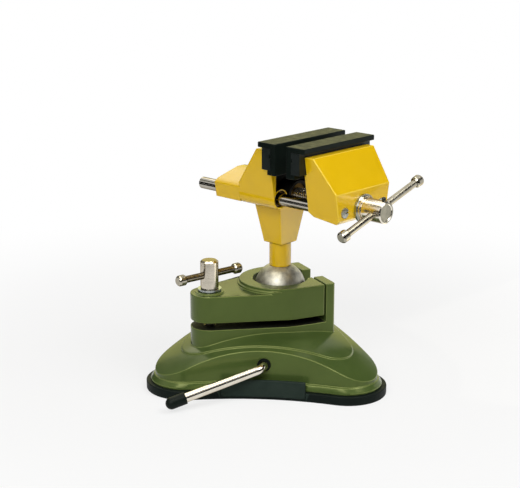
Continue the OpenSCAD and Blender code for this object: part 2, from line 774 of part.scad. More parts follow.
module vise_body() {
    heel_l = 5;
    heel_lean = 0.5;
    floor_t = 3;
    roof_t = 4;
    rim = 2.5;
    nut_wall = 2.5;
    upright = [
        [body_top_rear, jaw_z], [plate_rear, jaw_z], [plate_rear, plate_z], [body_front, plate_z],
        [body_front, body_z], [body_slope_x + heel_l, body_z], [body_slope_x + heel_lean, housing_z],
        [body_slope_x, body_slope_z]];
    pocket_x = body_front - pocket_d;
    pocket_foot = body_z + floor_t;
    pocket_w = 2 * rod_y + tube_d - 2 * rim;
    tube_x = body_slope_x - overlap;
    color(yellow) difference() {
        union() {
            difference() {
                intersection() {
                    union() {
                        across(upright);
                        rear_housing();
                    }
                    between_sides();
                }
                tube_corners();
                translate([pocket_x, -pocket_w / 2, pocket_foot])
                    cube([tall, pocket_w, plate_z - roof_t - pocket_foot]);
            }
            at_rods(tube_x) cylinder(d = tube_d, h = body_front - tube_x);
            at_slide(pocket_x - overlap) cylinder(r = nut_d / 2 + nut_wall, h = pocket_d);
            funnel();
            translate([0, 0, flat_z]) cylinder(d = neck_d, h = funnel_z - flat_z + overlap);
            translate([0, 0, flat_z - spigot_l]) cylinder(d = spigot_d, h = spigot_l + overlap);
        }
        at_rods(housing_end - overlap) cylinder(r = rod_d / 2 + free_gap, h = tall);
        at_rods(bush_x) cylinder(d = bush_d + 2 * run_gap, h = tall);
        at_slide(housing_end - overlap) cylinder(r = spindle_d / 2 + free_gap, h = tall);
        at_slide(nut_x) cylinder(d = nut_d + 2 * run_gap, h = tall);
        translate([0, 0, flat_z - spigot_l - overlap])
            cylinder(d = ball_screw_d + 2 * run_gap, h = spigot_l + ball_screw_l + drill_room);
        at_fixed_plate() plate_screw_holes();
    }
}

module guide_bushes() {
    color(brass) at_rods(bush_x) washer(bush_d, rod_d, bush_l);
}

module spindle_nut() {
    color(brass) at_slide(nut_x) washer(nut_d, spindle_d, nut_l);
}

// Jaw fittings are drawn for the fixed jaw, with X measured from the plate's rear face
module at_fixed_plate() { translate([plate_rear, 0, 0]) children(); }
module at_moving_plate() { translate([moving_rear, 0, 0]) mirror([1, 0, 0]) children(); }
module at_plate_screws(x) {
    for (side = [-1, 1]) translate([x, side * plate_screw_gap / 2, plate_screw_z]) along_x() children();
}

module plate_screw_holes() {
    depth = plate_screw_l + 1;
    at_plate_screws(-depth) cylinder(d = plate_screw_d + 2 * run_gap, h = depth + overlap);
}

module jaw_plate() {
    sink = plate_head_h + 2 * run_gap;
    difference() {
        translate([0, -cover_w / 2, plate_z]) cube([plate_t, cover_w, plate_h]);
        translate([plate_t - clip_d, -cover_w, clip_z]) cube([clip_d + overlap, 2 * cover_w, clip_h]);
        at_plate_screws(-overlap) cylinder(d = plate_screw_d + 2 * run_gap, h = plate_t + 2 * overlap);
        at_plate_screws(plate_t - sink)
            cylinder(r1 = plate_screw_d / 2 + run_gap, r2 = plate_screw_d + 4 * run_gap, h = sink);
    }
}

module plate_screws() {
    socket_d = 0.6 * plate_screw_d;
    socket_h = 1.6;
    head_x = plate_t - plate_head_h;
    at_plate_screws(0) difference() {
        union() {
            translate([0, 0, -plate_screw_l])
                cylinder(d = plate_screw_d, h = plate_screw_l + head_x + run_gap);
            translate([0, 0, head_x - run_gap])
                cylinder(d1 = plate_screw_d, d2 = 2 * plate_screw_d, h = plate_head_h - run_gap);
        }
        translate([0, 0, plate_t - socket_h]) cylinder(d = socket_d, h = plate_t, $fn = 6);
    }
}

// Clip-on cover: a flange over the plate, a wall in front, a rib and a hook
module jaw_cover() {
    foot_z = plate_z - hook_h;
    translate([0, -cover_w / 2, 0]) {
        translate([plate_t, 0, foot_z]) cube([cover_t, cover_w, cover_z - foot_z + overlap]);
        translate([plate_t + cover_t - flange_l, 0, cover_z]) cube([flange_l, cover_w, flange_t]);
        translate([plate_t - hook_l, 0, foot_z]) cube([hook_l + overlap, cover_w, hook_h]);
        translate([plate_t - clip_d + clip_play, 0, clip_z + clip_play])
            cube([clip_d + overlap, cover_w, clip_h - 2 * clip_play]);
    }
}

module fixed_jaw_plate() { color(dark_steel) at_fixed_plate() jaw_plate(); }
module fixed_plate_screws() { color(steel) at_fixed_plate() plate_screws(); }
module fixed_jaw_cover() { color(black) at_fixed_plate() jaw_cover(); }

module moving_jaw() {
    edge = 2.5;
    toe_l = 4.5;
    toe_h = 2.4;
    heel_h = 5.2;
    profile = [
        [moving_rear, jaw_z], [moving_rear + top_depth, jaw_z], [moving_front, slope_z],
        [moving_front, moving_z + edge], [moving_front - edge, moving_z],
        [gap_side + toe_l, moving_z + toe_h], [gap_side, moving_z + heel_h], [gap_side, plate_z],
        [moving_rear, plate_z]];
    color(yellow) difference() {
        intersection() {
            across(profile);
            between_sides();
        }
        at_slide(gap_side - overlap) cylinder(d = spindle_d + 2 * run_gap, h = tall);
        at_rods(gap_side - overlap) cylinder(d = rod_d + 2 * run_gap, h = rod_fixing_x - gap_side + overlap);
        at_rods(gap_side) cylinder(d = rod_shank_d + 2 * run_gap, h = tall);
        at_rods(moving_front - rod_screw_h) cylinder(d = rod_screw_d + 2 * run_gap, h = tall);
        at_moving_plate() plate_screw_holes();
    }
}

module moving_jaw_plate() { color(dark_steel) at_moving_plate() jaw_plate(); }
module moving_plate_screws() { color(steel) at_moving_plate() plate_screws(); }
module moving_jaw_cover() { color(black) at_moving_plate() jaw_cover(); }

module guide_rod(side) {
    edge = 1;
    l = rod_fixing_x - rod_end;
    translate([rod_end, side * rod_y, slide_z]) along_x()
        rotate_extrude() polygon([[0, 0], [rod_d / 2 - edge, 0], [rod_d / 2, edge], [rod_d / 2, l], [0, l]]);
}

module guide_rod_left() { color(steel) guide_rod(-1); }
module guide_rod_right() { color(steel) guide_rod(1); }

// Slotted cheese-head screws that hold the rods in the moving jaw
module rod_screws() {
    proud = 0.6;
    slot_w = 1.2;
    slot_d = 1.3;
    head_x = moving_front - rod_screw_h;
    color(steel) at_rods(head_x) difference() {
        union() {
            cylinder(d = rod_screw_d, h = rod_screw_h + proud);
            translate([0, 0, rod_fixing_x - head_x])
                cylinder(d = rod_shank_d, h = head_x + overlap - rod_fixing_x);
        }
        translate([-slot_w / 2, -rod_screw_d, rod_screw_h + proud - slot_d])
            cube([slot_w, 2 * rod_screw_d, tall]);
    }
}

// Spindle head with a collar and a groove at its foot and a dished end
module spindle_head() {
    collar_w = 1.2;
    collar_t = 1.5;
    neck_w = 0.6;
    neck_t = 0.7;
    crown = 0.8;
    rim = 1;
    dish = 0.5;
    r = head_d / 2;
    foot = collar_t + neck_t;
    rotate_extrude() polygon([
        [0, 0], [r + collar_w, 0], [r + collar_w, collar_t], [r - neck_w, collar_t], [r - neck_w, foot],
        [r, foot], [r, head_l - crown], [r - crown, head_l], [r - crown - rim, head_l],
        [r - crown - rim - dish, head_l - dish], [0, head_l - dish]]);
}

module spindle() {
    thread_end = ring_x - 3;
    turns = floor((thread_end - spindle_end - 2) / spindle_pitch);
    crest = spindle_d / 2;
    root = crest - thread_depth;
    ring = ring_x - spindle_end;
    plain = head_x - spindle_end + overlap;
    foot = thread_end - spindle_end;
    start = foot - turns * spindle_pitch;
    neck = [
        [crest, foot], [crest, ring], [root, ring], [root, ring + groove_t], [crest, ring + groove_t],
        [crest, plain], [0, plain]];
    color(steel) difference() {
        union() {
            at_slide(spindle_end) rotate_extrude() polygon(concat(
                [[0, 0], [root, 0]], thread(spindle_d, spindle_pitch, start, turns), neck));
            at_slide(head_x) spindle_head();
        }
        at_spindle_bar() cross_bar(bar_d + 2 * run_gap, 3 * head_d);
        at_bar_detent() cylinder(d = detent_d, h = head_d);
    }
}

module at_spindle_bar() {
    translate([bar_x, 0, slide_z]) rotate([bar_turn, 0, 0]) rotate([0, 0, 90]) children();
}

module at_bar_detent() {
    lean = -5;
    translate([detent_x, 0, slide_z]) rotate([lean, 0, 0]) translate([0, 0, detent_foot]) children();
}

module spindle_washer() {
    color(steel) at_slide(moving_front) washer(head_washer_d, spindle_d, head_washer_t);
}

module spindle_retaining_ring() {
    color(dark_steel) at_slide(ring_x + ring_play) retaining_ring(spindle_d, thread_depth);
}

module spindle_bar() {
    color(steel) at_spindle_bar() translate([bar_slide, 0, 0])
        cross_bar(bar_d, bar_l + knob_l - 2 * knob_wall);
}

module spindle_bar_knobs() {
    color(steel) at_spindle_bar() translate([bar_slide, 0, 0]) bar_knobs(bar_d, knob_d, bar_l);
}

// Small ball-headed detent screw in the spindle's head
module bar_detent() {
    stem = head_d / 2 - detent_foot;
    knob = 3;
    rise = 1.2;
    color(dark_steel) at_bar_detent() {
        cylinder(r = detent_d / 2 - press_gap, h = stem);
        translate([0, 0, stem + rise]) sphere(d = knob);
    }
}

base_casting();
suction_pad();
pad_disc();
pad_lifter();
suction_lever();
lever_cam();
lever_tip();
lever_bush();
lever_retaining_ring();
clamp_cap();
clamp_washer();
clamp_screw();
clamp_bar();
clamp_bar_knobs();
ball_seat();
ball();
ball_screw();
vise_body();
guide_bushes();
spindle_nut();
fixed_jaw_plate();
fixed_plate_screws();
fixed_jaw_cover();
moving_jaw();
moving_jaw_plate();
moving_plate_screws();
moving_jaw_cover();
guide_rod_left();
guide_rod_right();
rod_screws();
spindle();
spindle_washer();
spindle_retaining_ring();
spindle_bar();
spindle_bar_knobs();
bar_detent();
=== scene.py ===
import json
import math
import bpy
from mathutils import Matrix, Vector


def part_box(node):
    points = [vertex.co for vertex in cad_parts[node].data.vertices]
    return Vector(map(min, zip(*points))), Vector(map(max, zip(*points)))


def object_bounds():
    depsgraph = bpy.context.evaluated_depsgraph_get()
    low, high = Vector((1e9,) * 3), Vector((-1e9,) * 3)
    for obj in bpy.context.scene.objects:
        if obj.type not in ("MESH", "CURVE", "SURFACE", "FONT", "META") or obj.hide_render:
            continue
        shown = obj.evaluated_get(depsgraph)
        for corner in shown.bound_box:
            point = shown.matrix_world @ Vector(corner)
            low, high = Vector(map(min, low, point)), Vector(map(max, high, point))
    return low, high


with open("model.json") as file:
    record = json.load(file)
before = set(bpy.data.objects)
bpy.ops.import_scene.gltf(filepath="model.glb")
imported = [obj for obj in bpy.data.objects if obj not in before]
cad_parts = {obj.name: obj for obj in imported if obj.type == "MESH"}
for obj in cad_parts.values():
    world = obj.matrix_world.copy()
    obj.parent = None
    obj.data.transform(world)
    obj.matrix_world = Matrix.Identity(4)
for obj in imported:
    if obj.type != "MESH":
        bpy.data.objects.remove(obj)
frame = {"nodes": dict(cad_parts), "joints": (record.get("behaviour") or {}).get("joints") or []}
cad_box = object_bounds()
nodes = frame["nodes"]
joint_axis = {joint["name"]: Vector(joint["axis"]) for joint in frame["joints"]}
SLIDE = joint_axis["jaw_slide"]
UP = joint_axis["head_turn"]
MM = 0.001  # lengths are in metres


# Shader nodes

NOISE_LOW = 0.3        # most of a noise lies between these two values
NOISE_HIGH = 0.7
RING_SCALE = 900.0     # turned rings, in cells per metre along their axis
RING_DETAIL = 4.0
PAINT_ROLL = 1.1 * MM  # radius at which paint rolls over an edge
ROLL_SAMPLES = 8


def start_material(name):
    """New material with a Principled shader: the material, its node tree and that shader."""
    material = bpy.data.materials.new(name)
    material.use_nodes = True
    tree = material.node_tree
    tree.nodes.clear()
    output = tree.nodes.new("ShaderNodeOutputMaterial")
    shader = tree.nodes.new("ShaderNodeBsdfPrincipled")
    tree.links.new(shader.outputs["BSDF"], output.inputs["Surface"])
    return material, tree, shader


def object_coordinates(tree):
    return tree.nodes.new("ShaderNodeTexCoord").outputs["Object"]


def noise(tree, vector, scale, detail, roughness=0.5):
    """Noise over a piece's own coordinates, with its scale in cells per metre."""
    node = tree.nodes.new("ShaderNodeTexNoise")
    node.inputs["Scale"].default_value = scale
    node.inputs["Detail"].default_value = detail
    node.inputs["Roughness"].default_value = roughness
    tree.links.new(vector, node.inputs["Vector"])
    return node.outputs["Fac"]


def ring_noise(tree, vector, axis):
    """Noise that only changes along an axis, as a lathe leaves it."""
    along = tree.nodes.new("ShaderNodeVectorMath")
    along.operation = "DOT_PRODUCT"
    along.inputs[1].default_value = axis
    tree.links.new(vector, along.inputs[0])
    node = tree.nodes.new("ShaderNodeTexNoise")
    node.noise_dimensions = "1D"
    node.inputs["Scale"].default_value = RING_SCALE
    node.inputs["Detail"].default_value = RING_DETAIL
    tree.links.new(along.outputs["Value"], node.inputs["W"])
    return node.outputs["Fac"]


def ramp_colour(tree, factor, dark, light, low, high):
    """Colour that goes from dark to light as a factor goes from low to high."""
    node = tree.nodes.new("ShaderNodeValToRGB")
    for stop, position, colour in zip(node.color_ramp.elements, (low, high), (dark, light)):
        stop.position = position
        stop.color = (*colour, 1.0)
    tree.links.new(factor, node.inputs["Fac"])
    return node.outputs["Color"]


def remap(tree, factor, low, high):
    """Value that goes from low to high over the range of a noise."""
    node = tree.nodes.new("ShaderNodeMapRange")
    node.inputs["From Min"].default_value = NOISE_LOW
    node.inputs["From Max"].default_value = NOISE_HIGH
    node.inputs["To Min"].default_value = low
    node.inputs["To Max"].default_value = high
    tree.links.new(factor, node.inputs["Value"])
    return node.outputs["Result"]


def bump(tree, height, depth, strength, below=None):
    """Normals of a fine relief, laid over the normals below it."""
    node = tree.nodes.new("ShaderNodeBump")
    node.inputs["Strength"].default_value = strength
    node.inputs["Distance"].default_value = depth
    tree.links.new(height, node.inputs["Height"])
    if below is not None:
        tree.links.new(below, node.inputs["Normal"])
    return node.outputs["Normal"]


def rolled_edges(tree):
    """Normals that roll over the edges, as thick paint does."""
    node = tree.nodes.new("ShaderNodeBevel")
    node.samples = ROLL_SAMPLES
    node.inputs["Radius"].default_value = PAINT_ROLL
    return node.outputs["Normal"]


def dress(tree, shader, colour, normal, roughness):
    """Links what changes over a surface to its shader."""
    tree.links.new(colour, shader.inputs["Base Color"])
    tree.links.new(normal, shader.inputs["Normal"])
    tree.links.new(roughness, shader.inputs["Roughness"])


# Materials

# PAINTED_SHADE_SHINE is the shine of the near-black painted shade in slits and pockets
PAINTED_SHADE_SHINE = 0.2
MOULDED_SHINE = 0.09
GRAZING_TINT = (0.3, 0.25, 0.18)


def paint(name, dark, light, wave, shine, gloss):
    """Glossy enamel over a casting: rolled edges, slight waves, orange peel and uneven tone."""
    material, tree, shader = start_material(name)
    at = object_coordinates(tree)
    tone = noise(tree, at, scale=45.0, detail=4.0)
    waves = noise(tree, at, scale=60.0, detail=2.0)
    peel = noise(tree, at, scale=1300.0, detail=2.0)
    haze = noise(tree, at, scale=90.0, detail=4.0)
    wavy = bump(tree, waves, depth=0.5 * MM, strength=wave, below=rolled_edges(tree))
    dress(
        tree, shader,
        colour=ramp_colour(tree, tone, dark, light, low=0.3, high=0.65),
        normal=bump(tree, peel, depth=0.03 * MM, strength=0.25, below=wavy),
        roughness=remap(tree, haze, low=0.16, high=0.24))
    shader.inputs["Specular IOR Level"].default_value = shine
    shader.inputs["Specular Tint"].default_value = (*gloss, 1.0)
    return material


def painted_shade_casting(name, dark, light):
    """Near-black cast metal, put as painted shade on faces inside a slit, an opening or a pocket."""
    material, tree, shader = start_material(name)
    grain = noise(tree, object_coordinates(tree), scale=420.0, detail=6.0, roughness=0.65)
    dress(
        tree, shader,
        colour=ramp_colour(tree, grain, dark, light, low=0.35, high=0.75),
        normal=bump(tree, grain, depth=0.15 * MM, strength=0.6),
        roughness=remap(tree, grain, low=0.5, high=0.75))
    shader.inputs["Specular IOR Level"].default_value = PAINTED_SHADE_SHINE
    return material


def moulded(name, dark, light, rough, grain):
    """Moulded rubber or plastic with a fine grain."""
    material, tree, shader = start_material(name)
    at = object_coordinates(tree)
    tone = noise(tree, at, scale=70.0, detail=5.0)
    soft = noise(tree, at, scale=240.0, detail=3.0)
    fine = noise(tree, at, scale=grain, detail=2.0)
    uneven = bump(tree, soft, depth=0.12 * MM, strength=0.4)
    dress(
        tree, shader,
        colour=ramp_colour(tree, tone, dark, light, low=0.3, high=0.75),
        normal=bump(tree, fine, depth=0.05 * MM, strength=0.5, below=uneven),
        roughness=remap(tree, soft, low=rough - 0.05, high=rough + 0.08))
    shader.inputs["Specular IOR Level"].default_value = MOULDED_SHINE
    return material


def plate(shader):
    """Makes a shader a metal that is dark and warm where it is seen at a grazing angle."""
    shader.inputs["Metallic"].default_value = 1.0
    shader.inputs["Specular Tint"].default_value = (*GRAZING_TINT, 1.0)


def turned_metal(name, dark, light, axis, rough):
    """Turned metal, with fine rings along an axis."""
    material, tree, shader = start_material(name)
    at = object_coordinates(tree)
    rings = ring_noise(tree, at, axis)
    smear = noise(tree, at, scale=130.0, detail=5.0)
    dress(
        tree, shader,
        colour=ramp_colour(tree, smear, dark, light, low=0.25, high=0.65),
        normal=bump(tree, rings, depth=0.01 * MM, strength=0.12),
        roughness=remap(tree, rings, low=rough - 0.03, high=rough + 0.03))
    plate(shader)
    return material


def polished_steel(name, dark, light, rough):
    """Bright plated steel with a faint unevenness left by the polish."""
    material, tree, shader = start_material(name)
    at = object_coordinates(tree)
    smear = noise(tree, at, scale=160.0, detail=5.0)
    ripple = noise(tree, at, scale=220.0, detail=2.0)
    dress(
        tree, shader,
        colour=ramp_colour(tree, smear, dark, light, low=0.25, high=0.65),
        normal=bump(tree, ripple, depth=0.01 * MM, strength=0.3),
        roughness=remap(tree, smear, low=rough - 0.04, high=rough + 0.06))
    plate(shader)
    return material


def ground_steel(name, dark, light, rough, metallic=1.0):
    """Satin, zinc-plated or blackened steel with a blotchy, finely ground face."""
    material, tree, shader = start_material(name)
    at = object_coordinates(tree)
    blotch = noise(tree, at, scale=230.0, detail=8.0, roughness=0.7)
    fine = noise(tree, at, scale=2400.0, detail=2.0)
    dress(
        tree, shader,
        colour=ramp_colour(tree, blotch, dark, light, low=0.3, high=0.7),
        normal=bump(tree, fine, depth=0.015 * MM, strength=0.3),
        roughness=remap(tree, blotch, low=rough - 0.06, high=rough + 0.1))
    shader.inputs["Metallic"].default_value = metallic
    return material


# Finishes, each with its darker and its lighter tone, and the nodes that have them

OLIVE_COAT = {"wave": 0.2, "shine": 0.4, "gloss": (0.96, 1.0, 0.42)}
YELLOW_COAT = {"wave": 0.06, "shine": 0.42, "gloss": (1.0, 0.97, 0.8)}
NICKEL = (0.7, 0.64, 0.53)
NICKEL_SHADE = (0.58, 0.53, 0.44)

olive_paint = paint("olive_paint", (0.055, 0.086, 0.021), (0.065, 0.099, 0.025), **OLIVE_COAT)
# Painted highlight: lighter olive for the rounded edges
olive_edge_highlight = paint("olive_edge_highlight", (0.115, 0.15, 0.042), (0.135, 0.175, 0.05), **OLIVE_COAT)
yellow_paint = paint("yellow_paint", (0.7, 0.435, 0.003), (0.73, 0.455, 0.003), **YELLOW_COAT)
# Painted highlight: lighter yellow for the rounded edges
yellow_edge_highlight = paint("yellow_edge_highlight", (0.78, 0.53, 0.03), (0.82, 0.57, 0.04), **YELLOW_COAT)
# Painted shade: near-black for the slit between the tower and the cap, which lies in shade
olive_slit_shade = painted_shade_casting("olive_slit_shade", (0.006, 0.007, 0.004), (0.016, 0.017, 0.01))
# Painted shade: darker olive for the wall of the cap's opening round the ball
olive_mouth_shade = painted_shade_casting("olive_mouth_shade", (0.02, 0.028, 0.009), (0.034, 0.045, 0.014))
# Painted shade: near-black inside the fixed jaw's pocket
pocket_shade = painted_shade_casting("pocket_shade", (0.004, 0.004, 0.003), (0.012, 0.01, 0.007))
rubber = moulded(
    "pad_rubber", (0.003, 0.0065, 0.005), (0.006, 0.011, 0.0085), rough=0.5, grain=1900.0)
tab_rubber = moulded(
    "tab_rubber", (0.014, 0.024, 0.019), (0.022, 0.034, 0.027), rough=0.55, grain=900.0)
black_plastic = moulded(
    "black_plastic", (0.003, 0.006, 0.0045), (0.006, 0.01, 0.0075), rough=0.38, grain=2600.0)
spindle_steel = turned_metal("spindle_steel", (0.78, 0.72, 0.6), (0.9, 0.85, 0.75), SLIDE, rough=0.22)
clamp_steel = turned_metal("clamp_steel", NICKEL_SHADE, NICKEL, UP, rough=0.22)
bar_steel = polished_steel("bar_steel", (0.38, 0.35, 0.28), (0.47, 0.44, 0.36), rough=0.16)
# Painted shade: the same plated steel as the other bars, made darker on the clamp bar to stand in for
# dark reflections
clamp_bar_shaded_steel = polished_steel("clamp_bar_shaded_steel", (0.21, 0.18, 0.13), (0.27, 0.24, 0.18), rough=0.16)
lever_steel = polished_steel("lever_steel", NICKEL, (0.8, 0.76, 0.66), rough=0.13)
rod_steel = turned_metal("rod_steel", (0.42, 0.4, 0.35), (0.5, 0.47, 0.41), SLIDE, rough=0.16)
satin_steel = ground_steel("satin_steel", (0.26, 0.25, 0.21), (0.7, 0.68, 0.58), rough=0.46)
face_steel = ground_steel("face_steel", (0.24, 0.23, 0.18), (0.4, 0.38, 0.3), rough=0.36)
zinc_steel = ground_steel("zinc_steel", (0.36, 0.39, 0.4), (0.5, 0.53, 0.52), rough=0.24)
dark_steel = ground_steel(
    "dark_steel", (0.007, 0.011, 0.01), (0.012, 0.019, 0.017), rough=0.4, metallic=0.3)
# Painted shade: bronze made near-black for the bushes, which sit recessed in their bores
shaded_bronze = turned_metal("dark_bronze", (0.05, 0.035, 0.02), (0.09, 0.06, 0.03), SLIDE, rough=0.35)
# Painted shade: brass made dark for the nut, which sits deep in the jaw's pocket
shaded_brass = turned_metal("turned_brass", (0.17, 0.11, 0.04), (0.24, 0.16, 0.06), SLIDE, rough=0.3)

FINISH = {
    olive_paint: ["base_casting", "clamp_cap"],
    yellow_paint: ["vise_body", "moving_jaw"],
    rubber: ["suction_pad", "pad_disc"],
    black_plastic: ["fixed_jaw_cover", "moving_jaw_cover", "lever_tip", "lever_bush", "ball_seat"],
    spindle_steel: ["spindle"],
    clamp_steel: ["clamp_screw"],
    bar_steel: ["spindle_bar", "spindle_bar_knobs", "clamp_bar_knobs"],
    clamp_bar_shaded_steel: ["clamp_bar"],
    lever_steel: ["suction_lever"],
    rod_steel: ["guide_rod_left", "guide_rod_right"],
    satin_steel: ["ball", "pad_lifter", "lever_cam"],
    zinc_steel: ["clamp_washer", "spindle_washer", "rod_screws"],
    dark_steel: [
        "fixed_jaw_plate", "moving_jaw_plate", "fixed_plate_screws", "moving_plate_screws", "ball_screw",
        "bar_detent", "spindle_retaining_ring", "lever_retaining_ring"],
    shaded_bronze: ["guide_bushes"],
    shaded_brass: ["spindle_nut"],
}


# Faces with a finish of their own, picked by their middle and their direction; those in the slit, the
# cap's opening and the pocket are painted shade

FACING = 0.9              # least cosine between a face's direction and the axis that it faces along
FACING_IN = 0.3           # least cosine for a wall that is turned towards the ball's axis
UPRIGHT = 0.5             # greatest cosine with the vertical for an upright face
SKIN = 0.1 * MM           # greatest distance from a plane for what lies in it
SLIT_DEPTH = 8 * MM       # depth under the cap in which the top of the tower lies
MOUTH_ROOM = 2.6 * MM     # from the ball to past the wall of the cap's opening
END_DEPTH = 0.6 * MM      # depth in which the end face of the spindle lies
TAB_SHARE = 0.75          # share of the pad's height that the middle of the tab's sides passes
POCKET_BEHIND = 1.5 * MM  # reach of the pocket behind the bushes
POCKET_AHEAD = 1.9 * MM   # reach of the pocket in front of the bushes
POCKET_OVER = 1.0 * MM    # reach of the pocket over the foot of the jaw cover

cap_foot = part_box("clamp_cap")[0].z
pad_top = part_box("base_casting")[0].z
mouth_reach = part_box("ball")[1].x + MOUTH_ROOM
spindle_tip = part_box("spindle")[1].x
bush_low, bush_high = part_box("guide_bushes")
pocket_back = bush_low.x - POCKET_BEHIND
pocket_front = bush_high.x + POCKET_AHEAD
pocket_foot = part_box("guide_rod_left")[0].z
pocket_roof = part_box("fixed_jaw_cover")[0].z + POCKET_OVER


def slit_floor(at, facing):
    """Top of the tower, under the cap, painted near-black as shade."""
    return facing.z > FACING and cap_foot - SLIT_DEPTH < at.z < cap_foot


def slit_roof(at, facing):
    """Underside of the cap, painted near-black as shade."""
    return facing.z < -FACING and at.z < cap_foot + SKIN


def mouth_wall(at, facing):
    """Wall of the cap's opening, turned towards the ball's axis, painted darker as shade."""
    return at.xy.length < mouth_reach and facing.xy.dot(at.xy) < -FACING_IN * at.xy.length


def release_tab(at, facing):
    """Tab on the pad: faces above the pad, and sides that stand higher than the pad's own."""
    return at.z > pad_top + SKIN or (at.z > TAB_SHARE * pad_top and abs(facing.z) < UPRIGHT)


def inside_pocket(at, facing):
    """Faces of the pocket in the fixed jaw, round the bushes and the nut, painted near-black as shade.
    """
    across = abs(at.y) < bush_high.y
    return across and pocket_back < at.x < pocket_front and pocket_foot < at.z < pocket_roof


def spindle_end(at, facing):
    """End face of the spindle's head."""
    return facing.dot(SLIDE) > FACING and at.x > spindle_tip - END_DEPTH


def knob_end(at, facing):
    """Faces of a knob that are square to its bar."""
    return abs(facing.dot(joint_axis["spindle_bar_slide"])) > FACING


OWN_FACES = {
    "base_casting": [(olive_slit_shade, slit_floor)],
    "clamp_cap": [(olive_slit_shade, slit_roof), (olive_mouth_shade, mouth_wall)],
    "suction_pad": [(tab_rubber, release_tab)],
    "vise_body": [(pocket_shade, inside_pocket)],
    "spindle": [(face_steel, spindle_end)],
    "spindle_bar_knobs": [(face_steel, knob_end)],
}


# Rounded edges

# Width of the rounding along the edges of each node, in millimetres
EDGE = {
    "base_casting": 0.64, "clamp_cap": 0.85, "vise_body": 0.78, "moving_jaw": 0.8, "suction_pad": 1.0,
    "fixed_jaw_cover": 0.85, "moving_jaw_cover": 0.85,
}
# Painted highlight: lighter paint on the rounded edges, where highlights run along them
EDGE_HIGHLIGHT = {"base_casting": olive_edge_highlight, "clamp_cap": olive_edge_highlight, "moving_jaw": yellow_edge_highlight}

EDGE_SEGMENTS = 3
SHARP_FROM = math.radians(32)   # least angle at which an edge is rounded
FLAT_UNDER = math.radians(0.2)  # greatest angle between faces that become one flat face
WELD_UNDER = 0.001 * MM         # greatest gap between corners that become one
LARGE_FACES = 60                # weight of large faces in the normals, where 50 is neutral
BORE_REACH = 5.5 * MM           # from the middle of a hole to past its rim
TUBE_END = -15.5 * MM           # X of the rear ends of the guide tubes


def middle(name):
    low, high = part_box(name)
    return low.lerp(high, 0.5)


slide_middle = middle("spindle_nut")
rod_middle = middle("guide_rod_right")


def beside_bore(at):
    """Rims of the holes in the moving jaw, too near its lower edge to be rounded with it."""
    offsets = [abs(at.y - slide_middle.y), abs(abs(at.y) - rod_middle.y)]
    return math.hypot(min(offsets), at.z - slide_middle.z) < BORE_REACH


def on_tube_end(at):
    """Rear ends of the guide tubes, which stand a hair out of the body."""
    return abs(at.x - TUBE_END) < SKIN


LEFT_SHARP = {"moving_jaw": beside_bore, "vise_body": on_tube_end}


def round_edges(piece, width, edge_highlight):
    """Rounds the sharp edges of a casting or a moulding, with a lighter paint as painted highlight where
    given.
    """
    # The loaded normals give way to those of the rounded edges
    bpy.context.view_layer.objects.active = piece
    bpy.ops.mesh.customdata_custom_splitnormals_clear()
    for face in piece.data.polygons:
        face.use_smooth = True
    weld = piece.modifiers.new("weld", "WELD")
    weld.merge_threshold = WELD_UNDER
    if piece.name in LEFT_SHARP:
        sharp = LEFT_SHARP[piece.name]
        joined = piece.vertex_groups.new(name="joined")
        joined.add([v.index for v in piece.data.vertices if not sharp(v.co)], 1.0, "REPLACE")
        weld.vertex_group = joined.name
    flat = piece.modifiers.new("flat", "DECIMATE")
    flat.decimate_type = "DISSOLVE"
    flat.angle_limit = FLAT_UNDER
    flat.delimit = {"MATERIAL"}
    edge = piece.modifiers.new("edge", "BEVEL")
    edge.offset_type = "WIDTH"
    edge.width = width
    edge.segments = EDGE_SEGMENTS
    edge.limit_method = "ANGLE"
    edge.angle_limit = SHARP_FROM
    edge.use_clamp_overlap = False
    edge.loop_slide = False
    # The rounded edges take the lighter paint of the painted highlight
    if edge_highlight is not None:
        piece.data.materials.append(edge_highlight)
        edge.material = len(piece.data.materials) - 1
    normals = piece.modifiers.new("normals", "WEIGHTED_NORMAL")
    normals.keep_sharp = False
    normals.weight = LARGE_FACES


def finish_node(name, material):
    """Gives a node its finish, that of its own faces, and its rounded edges."""
    piece = nodes[name]
    piece.data.materials.clear()
    piece.data.materials.append(material)
    for own, picked in OWN_FACES.get(name, []):
        piece.data.materials.append(own)
        for face in piece.data.polygons:
            if picked(face.center, face.normal):
                face.material_index = len(piece.data.materials) - 1
    if name in EDGE:
        round_edges(piece, EDGE[name] * MM, EDGE_HIGHLIGHT.get(name))


for material, names in FINISH.items():
    for name in names:
        finish_node(name, material)


# Studio: white surround and pale floor

WHITE = (1.0, 1.0, 1.0, 1.0)
WORLD_LIGHT = 0.25  # strength of the surround as light on the object
FLOOR_HALF = 3.0
FLOOR_GAP = 0.05 * MM
FLOOR_COLOUR = (0.76, 0.76, 0.75, 1.0)
FLOOR_ROUGHNESS = 0.9
FADE_START = 0.14   # distances from the origin between which the floor fades to white
FADE_END = 0.5
LEAST_GLOW = 0.74   # share of plain white in the floor near the object


def add_to_scene(name, data):
    thing = bpy.data.objects.new(name, data)
    bpy.context.scene.collection.objects.link(thing)
    return thing


def seen_directly(tree):
    """1 for camera, glossy and transmission rays, 0 for the rays that light the object."""
    path = tree.nodes.new("ShaderNodeLightPath")
    total = path.outputs["Is Camera Ray"]
    for kind in ("Is Glossy Ray", "Is Transmission Ray"):
        node = tree.nodes.new("ShaderNodeMath")
        node.operation = "ADD"
        node.use_clamp = True
        tree.links.new(total, node.inputs[0])
        tree.links.new(path.outputs[kind], node.inputs[1])
        total = node.outputs["Value"]
    return total


